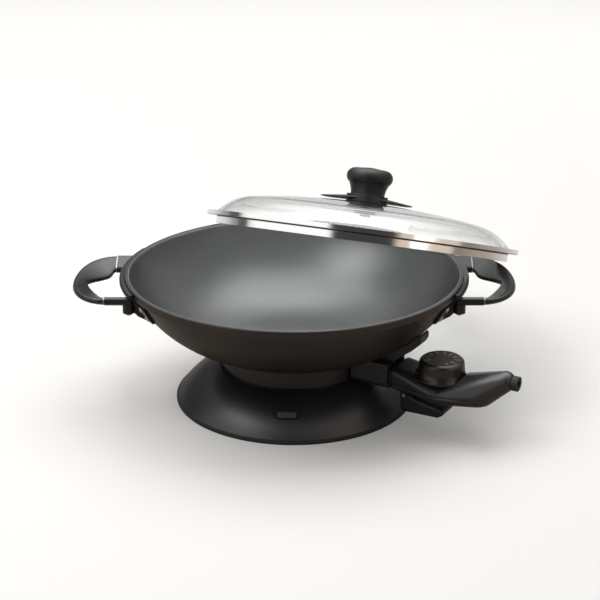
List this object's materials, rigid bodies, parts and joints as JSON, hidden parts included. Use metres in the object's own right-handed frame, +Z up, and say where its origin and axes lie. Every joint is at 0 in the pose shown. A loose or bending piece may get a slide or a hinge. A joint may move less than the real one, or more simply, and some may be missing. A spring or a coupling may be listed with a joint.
{
  "type": "electric wok",
  "caption": "Free-standing electric wok: non-stick cast bowl on a bell-shaped base, loop handles, lift-off glass lid with winged knob, and a pull-out probe controller with a heat dial.",
  "frame": {"origin": "on the pan's vertical axis, in the plane that the foot ring stands on", "axes": "+X through the right handle, -Y to the front with the bare name-plate place, +Z up"},
  "size_m": [0.4784, 0.4721, 0.2112],
  "materials": {
    "coated_cast_metal": "satin non-stick coating on cast aluminium",
    "black_phenolic": "satin black heat-resistant plastic",
    "dark_dial": "satin black plastic, slightly warm",
    "dial_print_disc": "dark brown printed disc",
    "steel_bright": "polished stainless steel",
    "steel_plated": "plated steel",
    "steel_dull": "plain steel sheet and tube",
    "brass": "plain brass",
    "soft_rubber": "black rubber",
    "clear_glass": "clear tempered glass",
    "pale_resin": "pale ceramic-filled resin"
  },
  "bodies": {
    "cooker": {"pan": "coated_cast_metal", "heating_element": "steel_dull", "terminal_pins": "steel_plated", "pin_insulators": "pale_resin", "probe_tube": "steel_dull", "socket_shroud": "black_phenolic", "shroud_screws": "steel_plated", "heat_shield": "steel_dull", "heat_spacer": "black_phenolic", "base_shell": "black_phenolic", "base_plate": "steel_dull", "base_screws": "steel_plated", "plate_screws": "steel_plated", "foot_ring": "soft_rubber", "badge": "steel_plated", "handle_left_grip": "black_phenolic", "handle_left_bracket": "black_phenolic", "handle_left_ferrules": "steel_plated", "handle_left_screws": "steel_plated", "handle_left_rivets": "steel_plated", "handle_right_grip": "black_phenolic", "handle_right_bracket": "black_phenolic", "handle_right_ferrules": "steel_plated", "handle_right_screws": "steel_plated", "handle_right_rivets": "steel_plated"},
    "lid": {"lid_glass": "clear_glass", "lid_band": "steel_bright", "lid_seal": "soft_rubber", "knob_guard": "black_phenolic", "lid_knob": "black_phenolic", "knob_insert": "brass", "knob_gasket": "soft_rubber", "knob_washer": "steel_bright", "knob_screw": "steel_plated"},
    "controller": {"controller_top": "black_phenolic", "controller_bottom": "black_phenolic", "controller_screws": "steel_plated", "probe_rod": "steel_plated", "probe_collar": "steel_plated", "receptacles": "brass", "receptacle_block": "black_phenolic", "thermostat_frame": "steel_dull", "thermostat_blade": "brass", "terminal_block": "pale_resin", "cord_gland": "soft_rubber", "lever_pin": "steel_plated"},
    "dial": {"dial_knob": "dark_dial", "dial_face": "dial_print_disc", "dial_shaft": "steel_plated"},
    "lever": {"release_lever": "black_phenolic"}
  },
  "joints": [
    {"name": "lid_lift", "type": "slide", "parent": "cooker", "child": "lid", "axis": [0, 0, 1], "range_m": [0, 0.18]},
    {"name": "controller_pull", "type": "slide", "parent": "cooker", "child": "controller", "axis": [0.866, -0.5, 0], "range_m": [0, 0.1]},
    {"name": "dial_turn", "type": "hinge", "parent": "controller", "child": "dial", "pos_m": [0.14809, -0.0855, 0.06], "axis": [0, 0, -1], "range_deg": [0, 270]},
    {"name": "lever_squeeze", "type": "hinge", "parent": "controller", "child": "lever", "pos_m": [0.11865, -0.0685, 0.035], "axis": [-0.5, -0.866, 0], "range_deg": [0, 5], "stiffness_Nm_per_rad": 0.3, "springref_deg": -5.73}
  ]
}
